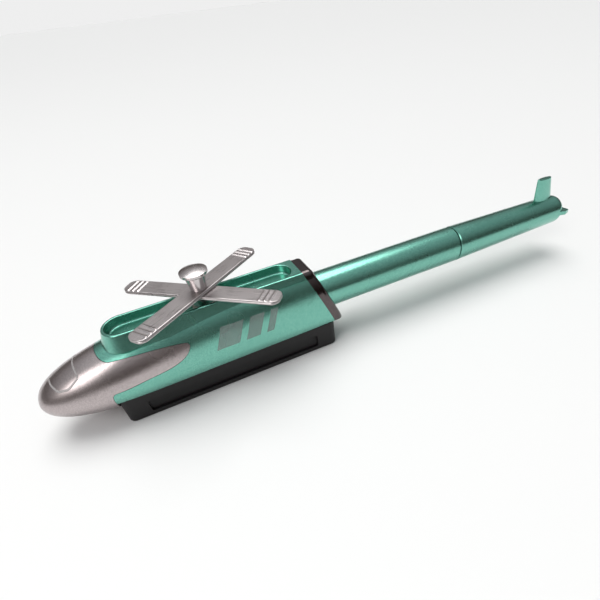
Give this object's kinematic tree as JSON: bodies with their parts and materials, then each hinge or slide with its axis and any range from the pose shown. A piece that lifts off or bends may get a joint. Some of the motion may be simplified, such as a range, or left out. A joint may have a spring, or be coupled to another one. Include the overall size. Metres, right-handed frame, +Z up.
{
  "type": "toy helicopter",
  "caption": "Slim desk toy helicopter with a plated nose, metallic body on a long skid block, spinning rotor with mushroom knob and turning tail cone.",
  "frame": {"origin": "middle of the skid's underside, on the plane that the toy stands on", "axes": "+X towards the nose, +Y to port, +Z up; the underside's outward normal is -Z"},
  "size_m": [0.15, 0.0268, 0.0282],
  "materials": {
    "dark_plating": "dark vacuum-plated plastic",
    "black_plating": "black chrome plated plastic",
    "green_metallic": "metallic candy green lacquer on plastic",
    "black_plastic": "satin black moulded plastic",
    "inner_plastic": "unpainted moulded plastic",
    "bush_plastic": "natural acetal",
    "ring_rubber": "black rubber",
    "screw_steel": "plain steel",
    "blade_steel": "satin polished stamped steel",
    "polished_steel": "polished turned steel"
  },
  "bodies": {
    "airframe": {"fuselage_shell": "green_metallic", "nose_shell": "dark_plating", "rear_collar": "black_plating", "inner_frame": "inner_plastic", "nose_screw": "screw_steel", "tray_rivets": "green_metallic", "skid_base": "black_plastic", "skid_cover": "black_plastic", "skid_screws": "screw_steel", "tail_boom": "green_metallic", "boom_lock_pin": "screw_steel", "boom_spigot": "inner_plastic", "friction_ring": "ring_rubber", "tail_snap_ring": "screw_steel", "mast_bush": "bush_plastic", "thrust_washer": "bush_plastic"},
    "tail": {"tail_cone": "green_metallic"},
    "rotor": {"lower_blades": "blade_steel", "upper_blades": "blade_steel", "rotor_mast": "polished_steel", "rotor_hub": "polished_steel", "mast_clip": "screw_steel"}
  },
  "joints": [
    {"name": "rotor_spin", "type": "hinge", "parent": "airframe", "child": "rotor", "pos_m": [0.0018, 0, 0.022], "axis": [0, 0, 1], "continuous": true},
    {"name": "tail_cone_turn", "type": "hinge", "parent": "airframe", "child": "tail", "pos_m": [-0.08, 0, 0.0125], "axis": [1, 0, 0], "continuous": true}
  ]
}
